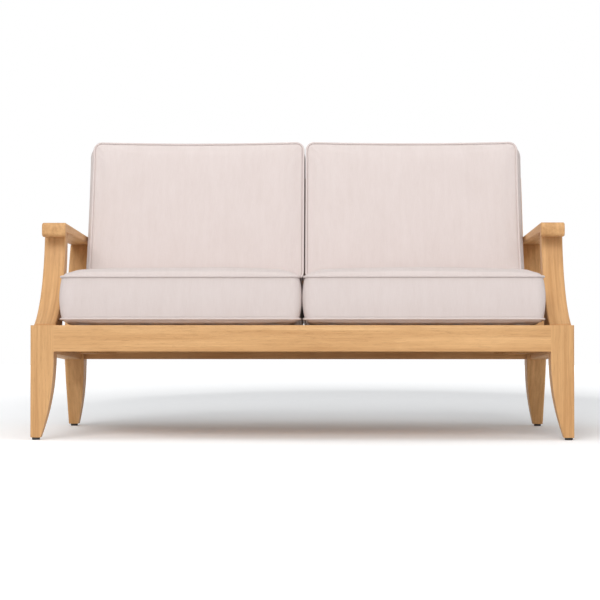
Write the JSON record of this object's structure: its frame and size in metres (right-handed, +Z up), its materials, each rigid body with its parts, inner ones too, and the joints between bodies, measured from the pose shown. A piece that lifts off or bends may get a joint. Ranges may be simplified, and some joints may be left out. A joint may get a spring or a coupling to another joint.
{
  "type": "patio loveseat",
  "caption": "Teak patio loveseat with sabre legs, curved arm posts, slatted seat and back, and loose boxed cushions with piped edges.",
  "frame": {"origin": "on the floor, under the middle of the loveseat's width and depth", "axes": "+X along the seat towards the left hand of a person seated, -Y is the front, +Z is up"},
  "size_m": [1.5, 0.9, 0.8955],
  "materials": {
    "teak": "satin",
    "dowel": "matte",
    "glide": "satin",
    "steel": "satin",
    "brass": "satin",
    "cover_fabric": "matte",
    "piping_fabric": "matte",
    "foam": "matte",
    "zip_tape": "matte",
    "zip_metal": "satin"
  },
  "bodies": {
    "frame": {"front_leg_left": "teak", "front_leg_right": "teak", "rear_leg_left": "teak", "rear_leg_right": "teak", "front_rail": "teak", "rear_rail": "teak", "side_rail_left": "teak", "side_rail_right": "teak", "arm_post_left": "teak", "arm_post_right": "teak", "armrest_left": "teak", "armrest_right": "teak", "back_stile_left": "teak", "back_stile_right": "teak", "back_top_rail": "teak", "back_bottom_rail": "teak", "back_slats": "teak", "seat_slats": "teak", "slat_cleat_front": "teak", "slat_cleat_rear": "teak", "seat_bearer": "teak", "corner_blocks": "teak", "arm_dowels": "dowel", "tenon_pins": "dowel", "back_bolts": "steel", "barrel_nuts": "steel", "slat_screws": "brass", "foot_glides": "glide"},
    "seat_cushion_left": {"seat_cushion_cover_left": "cover_fabric", "seat_cushion_core_left": "foam", "seat_cushion_piping_left": "piping_fabric", "seat_cushion_zip_left": "zip_tape"},
    "seat_cushion_left_zip_slider": {"seat_cushion_zip_slider_left": "zip_metal"},
    "back_cushion_left": {"back_cushion_cover_left": "cover_fabric", "back_cushion_core_left": "foam", "back_cushion_piping_left": "piping_fabric", "back_cushion_zip_left": "zip_tape"},
    "back_cushion_left_zip_slider": {"back_cushion_zip_slider_left": "zip_metal"},
    "seat_cushion_right": {"seat_cushion_cover_right": "cover_fabric", "seat_cushion_core_right": "foam", "seat_cushion_piping_right": "piping_fabric", "seat_cushion_zip_right": "zip_tape"},
    "seat_cushion_right_zip_slider": {"seat_cushion_zip_slider_right": "zip_metal"},
    "back_cushion_right": {"back_cushion_cover_right": "cover_fabric", "back_cushion_core_right": "foam", "back_cushion_piping_right": "piping_fabric", "back_cushion_zip_right": "zip_tape"},
    "back_cushion_right_zip_slider": {"back_cushion_zip_slider_right": "zip_metal"}
  },
  "joints": [
    {"name": "seat_cushion_left_lift", "type": "slide", "parent": "frame", "child": "seat_cushion_left", "axis": [0, 0, 1], "range_m": [0, 0.4]},
    {"name": "seat_cushion_left_zip", "type": "slide", "parent": "seat_cushion_left", "child": "seat_cushion_left_zip_slider", "axis": [-1, 0, 0], "range_m": [0, 0.46]},
    {"name": "back_cushion_left_lift", "type": "slide", "parent": "seat_cushion_left", "child": "back_cushion_left", "axis": [0, 0, 1], "range_m": [0, 0.4]},
    {"name": "back_cushion_left_zip", "type": "slide", "parent": "back_cushion_left", "child": "back_cushion_left_zip_slider", "axis": [-1, 0, 0], "range_m": [0, 0.46]},
    {"name": "seat_cushion_right_lift", "type": "slide", "parent": "frame", "child": "seat_cushion_right", "axis": [0, 0, 1], "range_m": [0, 0.4]},
    {"name": "seat_cushion_right_zip", "type": "slide", "parent": "seat_cushion_right", "child": "seat_cushion_right_zip_slider", "axis": [1, 0, 0], "range_m": [0, 0.46]},
    {"name": "back_cushion_right_lift", "type": "slide", "parent": "seat_cushion_right", "child": "back_cushion_right", "axis": [0, 0, 1], "range_m": [0, 0.4]},
    {"name": "back_cushion_right_zip", "type": "slide", "parent": "back_cushion_right", "child": "back_cushion_right_zip_slider", "axis": [1, 0, 0], "range_m": [0, 0.46]}
  ]
}
